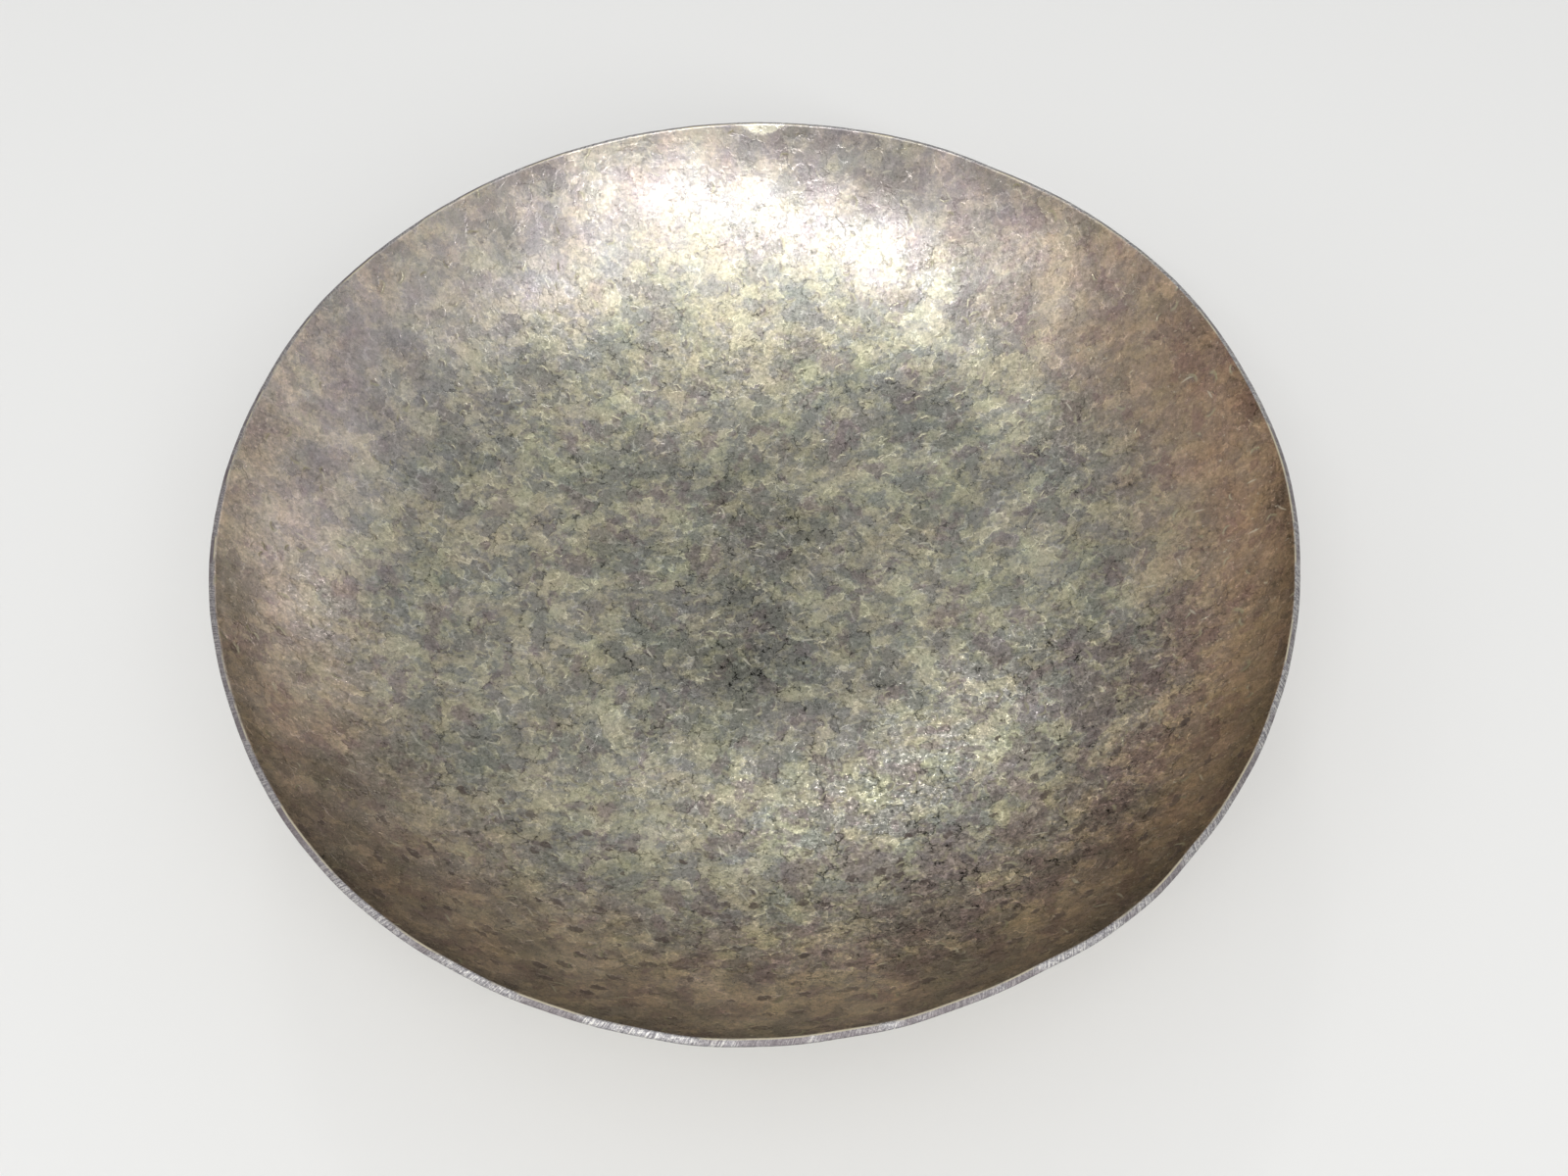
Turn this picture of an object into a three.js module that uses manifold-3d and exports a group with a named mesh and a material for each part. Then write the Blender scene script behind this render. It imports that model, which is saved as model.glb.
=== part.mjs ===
// A shallow bronze bowl, raised by hand from one disc of sheet metal.
// Millimetres, +Z up. The origin is the middle of the flat underside, and +Y is the back of the bowl.

import * as THREE from 'three';
import { mergeVertices } from 'three/addons/utils/BufferGeometryUtils.js';
import Module from 'manifold-3d';

// Overall form, over the outside of the sheet
const rimDiameter = 220;
const edgeHeight = 47.4; // from the underside up to the outer corner of the cut rim
const footDiameter = 44; // the flat that the bowl stands on
const floorDiameter = 132; // where the broad sweep of the floor meets the tighter bend of the wall
const floorSlope = 20; // how far the floor has turned up there, in degrees

// Thickness of the sheet, which was drawn thinner as the wall was raised
const floorGauge = 1.6;
const rimGauge = 1.4;
const cornerBreak = 0.25; // the two corners of the cut rim, rubbed down with a file

// Planishing: courses of overlapping blows, each a broad shallow dip with a low ridge round it
const blowPitch = 17; // from one dip to the next along a course
const courseSpacing = 12; // from one course to the next up the wall
const blowDepth = 0.14; // half the fall from ridge to dip
const staggerAngle = 137.5; // turn from one course to the next, in degrees
const calmFloor = 60; // the blows get their full depth this far from the middle of the floor
const footBlend = 10; // the underside is stretched flat, and the blows fade in over this much outside it

// The rim was cut by eye. Each kink pushes the wall out, or in where it is negative, and dies away
// towards the floor. The azimuth and the half width are in degrees, the azimuth from +X towards +Y.
const rimKinks = [
  { azimuth: 3, halfWidth: 8, out: 0.35 },
  { azimuth: 31, halfWidth: 11, out: 0.65 },
  { azimuth: 58, halfWidth: 5, out: -0.6 },
  { azimuth: 92, halfWidth: 24, out: -0.2 },
  { azimuth: 154, halfWidth: 9, out: 0.6 },
  { azimuth: 206, halfWidth: 9, out: -0.45 },
  { azimuth: 231, halfWidth: 6, out: 0.2 },
  { azimuth: 267, halfWidth: 6, out: 0.4 },
  { azimuth: 293, halfWidth: 6, out: -0.35 },
  { azimuth: 307, halfWidth: 5, out: 0.45 },
  { azimuth: 339, halfWidth: 15, out: -0.35 },
];
const kinkFade = 6; // a kink's push dies away below the rim as this power of the way up from the foot
const rimWave = 0.15; // the rim rises and falls by this much as it goes round
const rimWaveCount = 3;

// The shallow scoop that a half-round file left inside the rim, at the back
const scoopWidth = 12; // along the rim
const scoopReach = 2; // down the wall
const fileRadius = 40; // the round side of the file
const fileLength = 12;

// Fineness of the mesh
const aroundSteps = 120;
const footRings = 4;
const floorRings = 8;
const wallRings = 11;

const clamp01 = (value) => Math.min(Math.max(value, 0), 1);
const smoothStep = (value) => clamp01(value) ** 2 * (3 - 2 * clamp01(value));
const radians = THREE.MathUtils.degToRad;

// The outside is a flat foot and two arcs. The floor's arc leaves the foot level. The wall's arc takes
// over at the floor's slope and ends at the rim's outer corner: a chord's slope is midway between the
// slopes at its ends, which gives the slope at the rim.
const rimRadius = rimDiameter / 2;
const footRadius = footDiameter / 2;
const floorTurn = radians(floorSlope);
const floorBend = (floorDiameter / 2 - footRadius) / Math.sin(floorTurn);
const floorLength = floorBend * floorTurn;
const floorRise = floorBend * (1 - Math.cos(floorTurn));
const chordSlope = Math.atan2(edgeHeight - floorRise, rimRadius - floorDiameter / 2);
const rimTurn = 2 * chordSlope - floorTurn;
const wallBend = (rimRadius - floorDiameter / 2) / (Math.sin(rimTurn) - Math.sin(floorTurn));
const wallLength = wallBend * (rimTurn - floorTurn);
const wallStart = footRadius + floorLength;
const sheetLength = wallStart + wallLength;

// A station lies on the outside of the sheet, at a distance along it from the middle of the underside.
// It has its radius, its height, the slope there, how far up it is from the foot's edge to the rim, as
// a share, and the thickness of the sheet.
function station(distance) {
  const turnOnFloor = THREE.MathUtils.clamp((distance - footRadius) / floorBend, 0, floorTurn);
  const turn = turnOnFloor + Math.max(distance - wallStart, 0) / wallBend;
  const share = clamp01((distance - footRadius) / (sheetLength - footRadius));
  const flat = Math.min(distance, footRadius);
  return {
    distance,
    turn,
    share,
    radius: flat + floorBend * Math.sin(turnOnFloor) + wallBend * (Math.sin(turn) - Math.sin(turnOnFloor)),
    height: floorBend * (1 - Math.cos(turnOnFloor)) + wallBend * (Math.cos(turnOnFloor) - Math.cos(turn)),
    gauge: THREE.MathUtils.lerp(floorGauge, rimGauge, share),
  };
}

// The point at a depth into the sheet from a station, square to the sheet's outside
function intoSheet({ turn, radius, height }, depth) {
  return new THREE.Vector2(radius - depth * Math.sin(turn), height + depth * Math.cos(turn));
}

// The section is a closed line from the axis out along the underside and up the outer wall, over the
// cut rim, and back down the inner wall to the axis. Each point keeps its station and its side.
function bowlSection() {
  const stations = [station(0)];
  const addStations = (from, length, rings) => {
    for (let ring = 1; ring <= rings; ring++) stations.push(station(from + (length * ring) / rings));
  };
  addStations(0, footRadius, footRings);
  addStations(footRadius, floorLength, floorRings);
  addStations(wallStart, wallLength, wallRings);
  const cutEdge = stations.pop();
  const brokenCorner = station(sheetLength - cornerBreak);

  const section = [];
  const add = (at, depth, side) => section.push({ point: intoSheet(at, depth), at, side });
  for (const at of [...stations, brokenCorner]) add(at, 0, 'outer');
  add(cutEdge, cornerBreak, 'rim');
  add(cutEdge, cutEdge.gauge - cornerBreak, 'rim');
  for (const at of [brokenCorner, ...stations.toReversed()]) add(at, at.gauge, 'inner');
  section.at(-1).point.x = 0;
  return section;
}

// How far the blows push the sheet in, along its own normal. A course fades into the next one, and
// has as many whole blows as fit round it.
function planishing(distance, azimuth) {
  let push = 0;
  const nearest = Math.floor(distance / courseSpacing);
  for (const course of [nearest, nearest + 1]) {
    const middle = course * courseSpacing;
    const share = Math.cos(((distance - middle) / courseSpacing) * (Math.PI / 2)) ** 2;
    const blows = Math.round((2 * Math.PI * station(middle).radius) / blowPitch);
    if (blows > 0) push += share * Math.cos(blows * azimuth + course * radians(staggerAngle));
  }
  return blowDepth * smoothStep(distance / calmFloor) * push;
}

// How far a kinked rim stands out from a true circle, as raised-cosine humps round the rim
function kinkedOut(azimuth) {
  let out = 0;
  for (const kink of rimKinks) {
    const behind = THREE.MathUtils.euclideanModulo(azimuth - radians(kink.azimuth), 2 * Math.PI);
    const apart = Math.min(behind, 2 * Math.PI - behind);
    const share = Math.min(apart / radians(kink.halfWidth * 2), 1);
    out += kink.out * Math.cos((share * Math.PI) / 2) ** 2;
  }
  return out;
}

// Where a section point goes at one azimuth, once the sheet is planished and the rim is kinked
function beaten({ point, at, side }, azimuth) {
  const offFoot = smoothStep((at.distance - footRadius) / footBlend);
  const push = planishing(at.distance, azimuth) * (side === 'inner' ? 1 : offFoot);
  const out = kinkedOut(azimuth) * at.share ** kinkFade;
  const lift = rimWave * Math.sin(rimWaveCount * azimuth) * at.share ** 2;
  const radius = point.x === 0 ? 0 : point.x - push * Math.sin(at.turn) + out;
  const height = point.y + (point.x === 0 ? 0 : push * Math.cos(at.turn)) + lift;
  return new THREE.Vector3(radius * Math.cos(azimuth), radius * Math.sin(azimuth), height);
}

// The lathe turns the section about its own Y. Every turned point is then put where the beaten sheet
// has it, with the bowl's axis along Z.
function beatenSheet() {
  const section = bowlSection();
  const sheet = new THREE.LatheGeometry(section.map(({ point }) => point), aroundSteps);
  const place = sheet.getAttribute('position');
  for (let index = 0; index < place.count; index++) {
    const column = Math.floor(index / section.length) % aroundSteps;
    const azimuth = (2 * Math.PI * column) / aroundSteps;
    const { x, y, z } = beaten(section[index % section.length], azimuth);
    place.setXYZ(index, x, y, z);
  }
  return sheet;
}

// The round of the file, laid against the inner wall at the back. It bites deepest at the rim's inner
// corner, by the depth that makes the scoop as wide as it is, and runs out at the reach below.
function fileStroke() {
  const edge = station(sheetLength);
  const mouth = intoSheet(edge, edge.gauge);
  const bite = (scoopWidth ** 2 / 8) * (1 / fileRadius - 1 / mouth.x);
  const lower = station(sheetLength - scoopReach);
  const top = intoSheet(edge, edge.gauge - bite);
  const bottom = intoSheet(lower, lower.gauge);
  const stroke = new THREE.Vector2().subVectors(top, bottom).normalize();
  const offset = new THREE.Vector2(-stroke.y, stroke.x).multiplyScalar(fileRadius);
  const middle = new THREE.Vector2().addVectors(top, bottom).divideScalar(2).add(offset);

  const round = new THREE.CylinderGeometry(fileRadius, fileRadius, fileLength, 240);
  const lean = new THREE.Vector3(0, stroke.x, stroke.y);
  round.applyQuaternion(new THREE.Quaternion().setFromUnitVectors(new THREE.Vector3(0, 1, 0), lean));
  return round.translate(0, middle.x, middle.y);
}

const wasm = await Module();
wasm.setup();

// A closed mesh as a solid that can be cut, and back
function solidOf(geometry) {
  const bare = geometry.clone();
  bare.deleteAttribute('normal');
  bare.deleteAttribute('uv');
  const merged = mergeVertices(bare, 1e-4);
  const corners = [];
  const index = merged.getIndex().array;
  for (let first = 0; first < index.length; first += 3) {
    const [a, b, c] = index.subarray(first, first + 3);
    if (a !== b && b !== c && c !== a) corners.push(a, b, c);
  }
  return new wasm.Manifold(new wasm.Mesh({
    numProp: 3,
    vertProperties: new Float32Array(merged.getAttribute('position').array),
    triVerts: new Uint32Array(corners),
  }));
}

function geometryOf(solid) {
  const { vertProperties, triVerts } = solid.getMesh();
  const geometry = new THREE.BufferGeometry();
  geometry.setAttribute('position', new THREE.BufferAttribute(vertProperties, 3));
  geometry.setIndex(new THREE.BufferAttribute(triVerts, 1));
  geometry.computeVertexNormals();
  return geometry;
}

// One sheet of metal from rim to rim: nothing is soldered on, wired in or riveted
function bowl() {
  const filed = solidOf(beatenSheet()).subtract(solidOf(fileStroke()));
  const bronze = new THREE.MeshStandardMaterial({ color: 0x8c7a58, roughness: 0.42, metalness: 1 });
  const mesh = new THREE.Mesh(geometryOf(filed), bronze);
  mesh.name = 'bowl';
  return mesh;
}

const group = new THREE.Group();
group.add(bowl());

export default group;
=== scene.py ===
# A shallow bronze bowl, raised by hammer from one sheet, with its patina, on a pale studio floor.
# Metres, +Z up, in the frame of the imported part.

import math

import bpy
import numpy as np
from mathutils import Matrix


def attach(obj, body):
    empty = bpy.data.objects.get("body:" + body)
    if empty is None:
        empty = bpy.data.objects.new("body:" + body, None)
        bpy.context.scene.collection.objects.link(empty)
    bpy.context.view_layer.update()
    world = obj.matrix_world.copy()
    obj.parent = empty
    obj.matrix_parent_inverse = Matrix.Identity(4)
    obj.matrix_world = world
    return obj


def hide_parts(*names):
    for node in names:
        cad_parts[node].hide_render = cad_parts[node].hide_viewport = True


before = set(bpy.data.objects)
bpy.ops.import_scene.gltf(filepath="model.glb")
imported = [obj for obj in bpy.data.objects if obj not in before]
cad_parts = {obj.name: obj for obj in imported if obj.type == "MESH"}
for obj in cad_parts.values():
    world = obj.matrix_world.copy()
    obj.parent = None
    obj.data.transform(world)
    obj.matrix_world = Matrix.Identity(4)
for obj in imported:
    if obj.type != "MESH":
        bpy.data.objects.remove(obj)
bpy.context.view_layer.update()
print("frame loaded with", len(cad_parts), "node")

millimetres = 1000  # in a metre: the patterns on the sheet are laid out in millimetres

# The sheet's form, as the CAD solid has it
sheet = {
    "rimRadius": 0.110,
    "edgeHeight": 0.0474,  # underside to the outer corner of the cut rim
    "footRadius": 0.022,  # the flat that it stands on
    "floorRadius": 0.066,  # where the floor's sweep meets the wall's bend
    "floorTurn": math.radians(20),
    "floorGauge": 0.0016,
    "rimGauge": 0.0014,
    "cornerBreak": 0.00025,
    "footBlend": 0.010,  # the outside's marks fade in over this much round the foot
    "innerRings": 128,
    "outerRings": 64,
    "edgeRings": 10,  # of the inner rings, those crowded under the rim
    "edgeBand": 0.004,
    "inset": 0.00006,  # of the rim, which keeps the true round inside the CAD solid's facets
    "markFade": 0.003,  # the small marks die away over this much below the rim
    "fullMark": 0.00006,  # the height of a mark that counts as fully raised
    "noiseLayer": 673.9,  # the layer of the patina's 3-D noises that the sheet lies in, in mm
    "outsideShift": 500,  # how far the outside's patterns lie from the inside's, in mm
}

# The broad planishing, laid out as on the CAD solid but shallower, because smaller marks lie on it
planish = {
    "blowPitch": 0.017,  # from one dip to the next along a course
    "courseSpacing": 0.012,
    "blowDepth": 0.00006,  # half the fall from ridge to dip
    "stagger": math.radians(137.5),  # turn from one course to the next
    "calmFloor": 0.060,  # the blows get their full depth this far from the middle of the floor
}

# Where the hand-cut rim leaves a true circle: azimuth and half width in degrees, and how far out
rimKinks = [
    (3, 8, 0.00035), (31, 11, 0.00065), (58, 5, -0.0006), (92, 24, -0.0002),
    (154, 9, 0.0006), (206, 9, -0.00045), (231, 6, 0.0002), (267, 6, 0.0004),
    (293, 6, -0.00035), (307, 5, 0.00045), (339, 15, -0.00035),
]
kinkFade = 6  # a kink dies away below the rim as this power of the way up from the foot
rimWave = {"rise": 0.00015, "count": 3}

# The fine waver of the cut edge: sines of these counts round the rim, each at a phase of up to 7 radians
cutWaver = {"seed": 5, "depth": 0.00004, "counts": (17, 23, 41, 59, 83, 127), "phase": 7}

# The scoop that a half-round file left inside the rim, at the back
scoop = {"azimuth": math.radians(90), "width": 0.012, "reach": 0.003, "fileRadius": 0.040}

# Smaller hammer marks, laid over the planishing as heights on the flattened sheet
innerBlows = {"seed": 11, "count": 2600, "face": (0.0028, 0.0062), "dish": 0.000030, "tilt": 0.000030}
outerBlows = {"seed": 23, "count": 900, "face": (0.0055, 0.0105), "dish": 0.000070, "tilt": 0.000040}
blowStep = 0.0004  # spacing of the height grid
blowEdge = {"patch": 1.2, "outer": 1.15, "soft": 0.3}  # in radii of the hammer's face
tiltSpread = 0.4  # from blow to blow, as a share of the tilt

floorBend = (sheet["floorRadius"] - sheet["footRadius"]) / math.sin(sheet["floorTurn"])
floorRise = floorBend * (1 - math.cos(sheet["floorTurn"]))
wallStart = sheet["footRadius"] + floorBend * sheet["floorTurn"]
chordSlope = math.atan2(sheet["edgeHeight"] - floorRise, sheet["rimRadius"] - sheet["floorRadius"])
rimTurn = 2 * chordSlope - sheet["floorTurn"]
wallBend = (sheet["rimRadius"] - sheet["floorRadius"]) / (math.sin(rimTurn) - math.sin(sheet["floorTurn"]))
sheetLength = wallStart + wallBend * (rimTurn - sheet["floorTurn"])
scoopCurve = 1 / scoop["fileRadius"] - 1 / sheet["rimRadius"]  # how much rounder the file is than the rim
scoopDepth = scoop["width"] ** 2 / 8 * scoopCurve


def smoothStep(value):
    value = np.clip(value, 0, 1)
    return value * value * (3 - 2 * value)


# Slope, share of the way up, radius, height and thickness at a distance along the outside of the sheet:
# flat over the foot, then one arc over the floor and a tighter one up the wall
def station(distance):
    onFloor = np.clip((distance - sheet["footRadius"]) / floorBend, 0, sheet["floorTurn"])
    turn = onFloor + np.maximum(distance - wallStart, 0) / wallBend
    share = np.clip((distance - sheet["footRadius"]) / (sheetLength - sheet["footRadius"]), 0, 1)
    radius = np.minimum(distance, sheet["footRadius"]) + floorBend * np.sin(onFloor)
    radius = radius + wallBend * (np.sin(turn) - np.sin(onFloor))
    height = floorBend * (1 - np.cos(onFloor)) + wallBend * (np.cos(onFloor) - np.cos(turn))
    gauge = sheet["floorGauge"] + (sheet["rimGauge"] - sheet["floorGauge"]) * share
    return turn, share, radius, height, gauge


# The planishing's push along the sheet's normal: one cosine round each course, faded into the next course
def planishing(distance, azimuth):
    push = np.zeros_like(distance)
    nearest = np.floor(distance / planish["courseSpacing"])
    for course in (nearest, nearest + 1):
        middle = course * planish["courseSpacing"]
        share = np.cos((distance - middle) / planish["courseSpacing"] * math.pi / 2) ** 2
        blows = np.round(2 * math.pi * station(middle)[2] / planish["blowPitch"])
        push += np.where(blows > 0, share * np.cos(blows * azimuth + course * planish["stagger"]), 0)
    return planish["blowDepth"] * smoothStep(distance / planish["calmFloor"]) * push


# The angle from one azimuth to another the short way round, from -pi to pi
def turnFrom(start, azimuth):
    return (azimuth - start + math.pi) % (2 * math.pi) - math.pi


# How far the rim's kinks stand out, as raised-cosine humps
def kinkedOut(azimuth):
    out = np.zeros_like(azimuth)
    for at, halfWidth, rise in rimKinks:
        apart = np.abs(turnFrom(math.radians(at), azimuth))
        share = np.minimum(apart / math.radians(2 * halfWidth), 1)
        out += rise * np.cos(share * math.pi / 2) ** 2
    return out


# Heights over the flattened sheet. Each blow pulls a round patch towards its own tilted shallow dish,
# height = dish * (r^2 - 1/2) + tilt * the way along its lean, both in radii of the hammer's face, and
# later blows cut into earlier ones.
def hammered(blows):
    random = np.random.default_rng(blows["seed"])
    cells = int(2 * sheetLength / blowStep) + 1
    heights = np.zeros((cells, cells))
    line = np.arange(cells) * blowStep - sheetLength
    reach = sheetLength * np.sqrt(random.random(blows["count"]))
    bearing = random.random(blows["count"]) * 2 * math.pi
    face = random.uniform(*blows["face"], blows["count"])
    lean = random.random(blows["count"]) * 2 * math.pi
    tilt = blows["tilt"] * random.normal(1, tiltSpread, blows["count"])
    for u, v, size, way, tip in zip(reach * np.cos(bearing), reach * np.sin(bearing), face, lean, tilt):
        half = blowEdge["patch"] * size
        low = np.searchsorted(line, [u - half, v - half])
        high = np.searchsorted(line, [u + half, v + half])
        patch = (slice(low[0], high[0]), slice(low[1], high[1]))
        across, along = np.meshgrid((line[patch[0]] - u) / size, (line[patch[1]] - v) / size, indexing="ij")
        square = across ** 2 + along ** 2
        dish = blows["dish"] * (square - 0.5) + tip * (across * math.cos(way) + along * math.sin(way))
        share = smoothStep((blowEdge["outer"] - np.sqrt(square)) / blowEdge["soft"])
        heights[patch] += share * (heights[patch].mean() + dish - heights[patch])
    return heights


# The height between grid points, by bilinear weights
def sampled(heights, distance, azimuth):
    at = (np.stack([distance * np.cos(azimuth), distance * np.sin(azimuth)]) + sheetLength) / blowStep
    low = np.clip(at.astype(int), 0, heights.shape[0] - 2)
    (x, y), (fx, fy) = low, np.clip(at - low, 0, 1)
    near = heights[x, y] * (1 - fy) + heights[x, y + 1] * fy
    far = heights[x + 1, y] * (1 - fy) + heights[x + 1, y + 1] * fy
    return near * (1 - fx) + far * fx


# A square grid bent round: each square ring of it becomes a circle with eight more steps than the one
# inside. Gives every point's ring and azimuth, the quads, and the outermost ring's points in order of
# azimuth.
def discGrid(rings):
    line = np.arange(-rings, rings + 1)
    i, j = np.meshgrid(line, line, indexing="ij")
    ring = np.maximum(abs(i), abs(j))
    step = math.pi / 4 / np.maximum(ring, 1)
    azimuth = np.select([i == ring, j == ring, i == -ring], [j, 2 * ring - i, 4 * ring - j], 6 * ring + i)
    azimuth = azimuth * step % (2 * math.pi)
    number = np.arange(i.size).reshape(i.shape)
    corners = [number[:-1, :-1], number[1:, :-1], number[1:, 1:], number[:-1, 1:]]
    quads = np.stack(corners, axis=-1).reshape(-1, 4)
    edge = number[ring == rings]
    edge = edge[np.argsort(azimuth[ring == rings])]
    return ring.ravel(), azimuth.ravel(), quads, edge


# How deep the file bit into the inner corner: deepest at the rim, and nil at the reach below it or at half
# a width aside
def scoopBite(below, azimuth):
    aside = sheet["rimRadius"] * turnFrom(scoop["azimuth"], azimuth)
    return np.clip(scoopDepth * (1 - below / scoop["reach"]) - aside ** 2 / 2 * scoopCurve, 0, None)


# Points of the beaten sheet, at a depth in from its outside and with a relief along its inward normal
def beaten(distance, azimuth, depth, relief, planished):
    turn, share, radius, height = station(distance)[:4]
    push = planished * planishing(distance, azimuth) + relief
    out = (kinkedOut(azimuth) - sheet["inset"]) * share ** kinkFade
    reach = radius - (depth + push) * np.sin(turn) + out
    rise = height + (depth + push) * np.cos(turn)
    rise = rise + rimWave["rise"] * np.sin(rimWave["count"] * azimuth) * share ** 2
    return np.stack([reach * np.cos(azimuth), reach * np.sin(azimuth), rise], axis=-1)


# 1 over the sheet, falling to 0 at the rim, for the small marks
def underRim(distance):
    return smoothStep((sheetLength - distance) / sheet["markFade"])


# A mesh from its points and from pairs of faces and material slot, the faces as rows of corners
def sheetMesh(points, faces):
    corners = np.concatenate([part.ravel() for part, slot in faces]).astype(np.int32)
    sizes = np.concatenate([np.full(len(part), part.shape[1]) for part, slot in faces])
    starts = np.concatenate([[0], np.cumsum(sizes)[:-1]]).astype(np.int32)
    slots = np.concatenate([np.full(len(part), slot) for part, slot in faces])
    mesh = bpy.data.meshes.new("bowlSheet")
    mesh.vertices.add(len(points))
    mesh.vertices.foreach_set("co", points.astype(np.float32).ravel())
    mesh.loops.add(len(corners))
    mesh.loops.foreach_set("vertex_index", corners)
    mesh.polygons.add(len(sizes))
    mesh.polygons.foreach_set("loop_start", starts)
    mesh.polygons.foreach_set("material_index", slots)
    mesh.polygons.foreach_set("use_smooth", np.ones(len(sizes), bool))
    mesh.update(calc_edges=True)
    return mesh


# A number or a vector for each point, under a name that the finishes read
def addField(mesh, name, values):
    isVector = values.ndim == 2
    field = mesh.attributes.new(name, "FLOAT_VECTOR" if isVector else "FLOAT", "POINT")
    field.data.foreach_set("vector" if isVector else "value", values.astype(np.float32).ravel())


def bowlSheet():
    lastRing = sheetLength - sheet["cornerBreak"]
    rings = sheet["innerRings"] - sheet["edgeRings"]
    ladder = np.concatenate([
        np.linspace(0, lastRing - sheet["edgeBand"], rings + 1),
        np.linspace(lastRing - sheet["edgeBand"], lastRing, sheet["edgeRings"] + 1)[1:],
    ])
    innerRing, innerAzimuth, innerQuads, innerEdge = discGrid(sheet["innerRings"])
    innerDistance = ladder[innerRing]
    innerMarks = sampled(hammered(innerBlows), innerDistance, innerAzimuth)
    bite = scoopBite(sheetLength - innerDistance, innerAzimuth)
    depth = station(innerDistance)[-1] - bite
    inner = beaten(innerDistance, innerAzimuth, depth, innerMarks * underRim(innerDistance), 1)
    print("inside:", len(inner), "points")

    outerRing, outerAzimuth, outerQuads, outerEdge = discGrid(sheet["outerRings"])
    outerDistance = outerRing / sheet["outerRings"] * lastRing
    outerMarks = sampled(hammered(outerBlows), outerDistance, outerAzimuth)
    offFoot = smoothStep((outerDistance - sheet["footRadius"]) / sheet["footBlend"])
    outer = beaten(outerDistance, outerAzimuth, 0, outerMarks * underRim(outerDistance) * offFoot, offFoot)
    print("outside:", len(outer), "points")

    # The cut rim, from the inner corner to the outer one: a rounded corner, the filed face, a rounded
    # corner. Each row has how far it lies down from the cut, and how far in from the outside.
    around = len(innerEdge)
    rimAzimuth = np.arange(around) * 2 * math.pi / around
    rimGauge, breakBy = sheet["rimGauge"], sheet["cornerBreak"]
    midCorner = breakBy * (1 - math.sqrt(0.5))  # from each side to the middle of a corner's round
    rows = [
        (midCorner, rimGauge - midCorner), (0, rimGauge - breakBy), (0, rimGauge / 2),
        (0, breakBy), (midCorner, midCorner),
    ]
    random = np.random.default_rng(cutWaver["seed"])
    waver = np.zeros(around)
    for count in cutWaver["counts"]:
        waver += random.random() * np.sin(count * rimAzimuth + random.random() * cutWaver["phase"])
    waver = cutWaver["depth"] * (waver - waver.max()) / np.abs(waver).max()
    rimBite = scoopBite(0, rimAzimuth)
    rim = []
    for down, depth in rows:
        inset = np.where(depth > rimGauge / 2, rimBite, 0)
        rim.append(beaten(sheetLength - down + waver, rimAzimuth, depth - inset, 0, 1))

    # Quads from row to row. The outside has half as many points round its edge, so two steps of the rim
    # meet one step of it, by three triangles.
    rimCount = around * len(rows)
    outerStart = len(inner) + rimCount
    columns = np.arange(around)
    onward = np.roll(columns, -1)
    rowsOf = [innerEdge] + [len(inner) + around * row + columns for row in range(len(rows))]
    faces = [(innerQuads, 0)]
    for upper, lower in zip(rowsOf[:-1], rowsOf[1:]):
        faces.append((np.stack([upper, lower, lower[onward], upper[onward]], axis=-1), 1))
    even, odd, coarse = rowsOf[-1][0::2], rowsOf[-1][1::2], outerStart + outerEdge
    evenOn, coarseOn = np.roll(even, -1), np.roll(coarse, -1)
    for corners in ([even, coarse, odd], [odd, coarse, coarseOn], [odd, coarseOn, evenOn]):
        faces.append((np.stack(corners, axis=-1), 1))
    faces.append((outerStart + outerQuads[:, ::-1], 2))
    points = np.concatenate([inner, *rim, outer])
    mesh = sheetMesh(points, faces)

    # What the finishes need to know at each point: how far up the sheet it is, how raised by a mark and how
    # filed, its bearing with the way over the rim from 0 inside to 1 outside, and its place on the flattened
    # sheet, in millimetres
    distance = np.concatenate([innerDistance, np.full(rimCount, sheetLength), outerDistance])
    azimuth = np.concatenate([innerAzimuth, np.tile(rimAzimuth, len(rows)), outerAzimuth])
    marks = np.concatenate([innerMarks, np.zeros(rimCount), outerMarks])
    filed = np.concatenate([bite / scoopDepth, np.ones(rimCount), np.zeros(len(outer))])
    rimSteps = np.repeat(np.arange(len(rows)) / len(rows), around)
    overRim = np.concatenate([np.zeros(len(inner)), rimSteps, np.ones(len(outer))])
    flat = distance * millimetres
    layer = np.full(len(points), sheet["noiseLayer"])
    onSheet = np.stack([flat * np.cos(azimuth), flat * np.sin(azimuth), layer], axis=-1)
    onSheet[outerStart:, 0] += sheet["outsideShift"]
    addField(mesh, "upSheet", distance / sheetLength)
    addField(mesh, "raised", np.clip(marks / sheet["fullMark"], -1, 1))
    addField(mesh, "filed", filed)
    addField(mesh, "bearing", np.stack([np.cos(azimuth), np.sin(azimuth), overRim], axis=-1))
    addField(mesh, "onSheet", onSheet)

    piece = bpy.data.objects.new("bowlSheet", mesh)
    bpy.context.scene.collection.objects.link(piece)
    return piece


# Gives each named or numbered input of a node its value, or links it where the value is a socket
def setInputs(tree, node, inputs):
    for label, value in inputs.items():
        if isinstance(value, bpy.types.NodeSocket):
            tree.links.new(value, node.inputs[label])
        else:
            node.inputs[label].default_value = value


# Node building: one call makes a node, sets its options, and sets or links its inputs
def put(tree, kind, inputs=(), **options):
    made = tree.nodes.new("ShaderNode" + kind)
    for name, value in options.items():
        setattr(made, name, value)
    setInputs(tree, made, dict(inputs))
    return made


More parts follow.
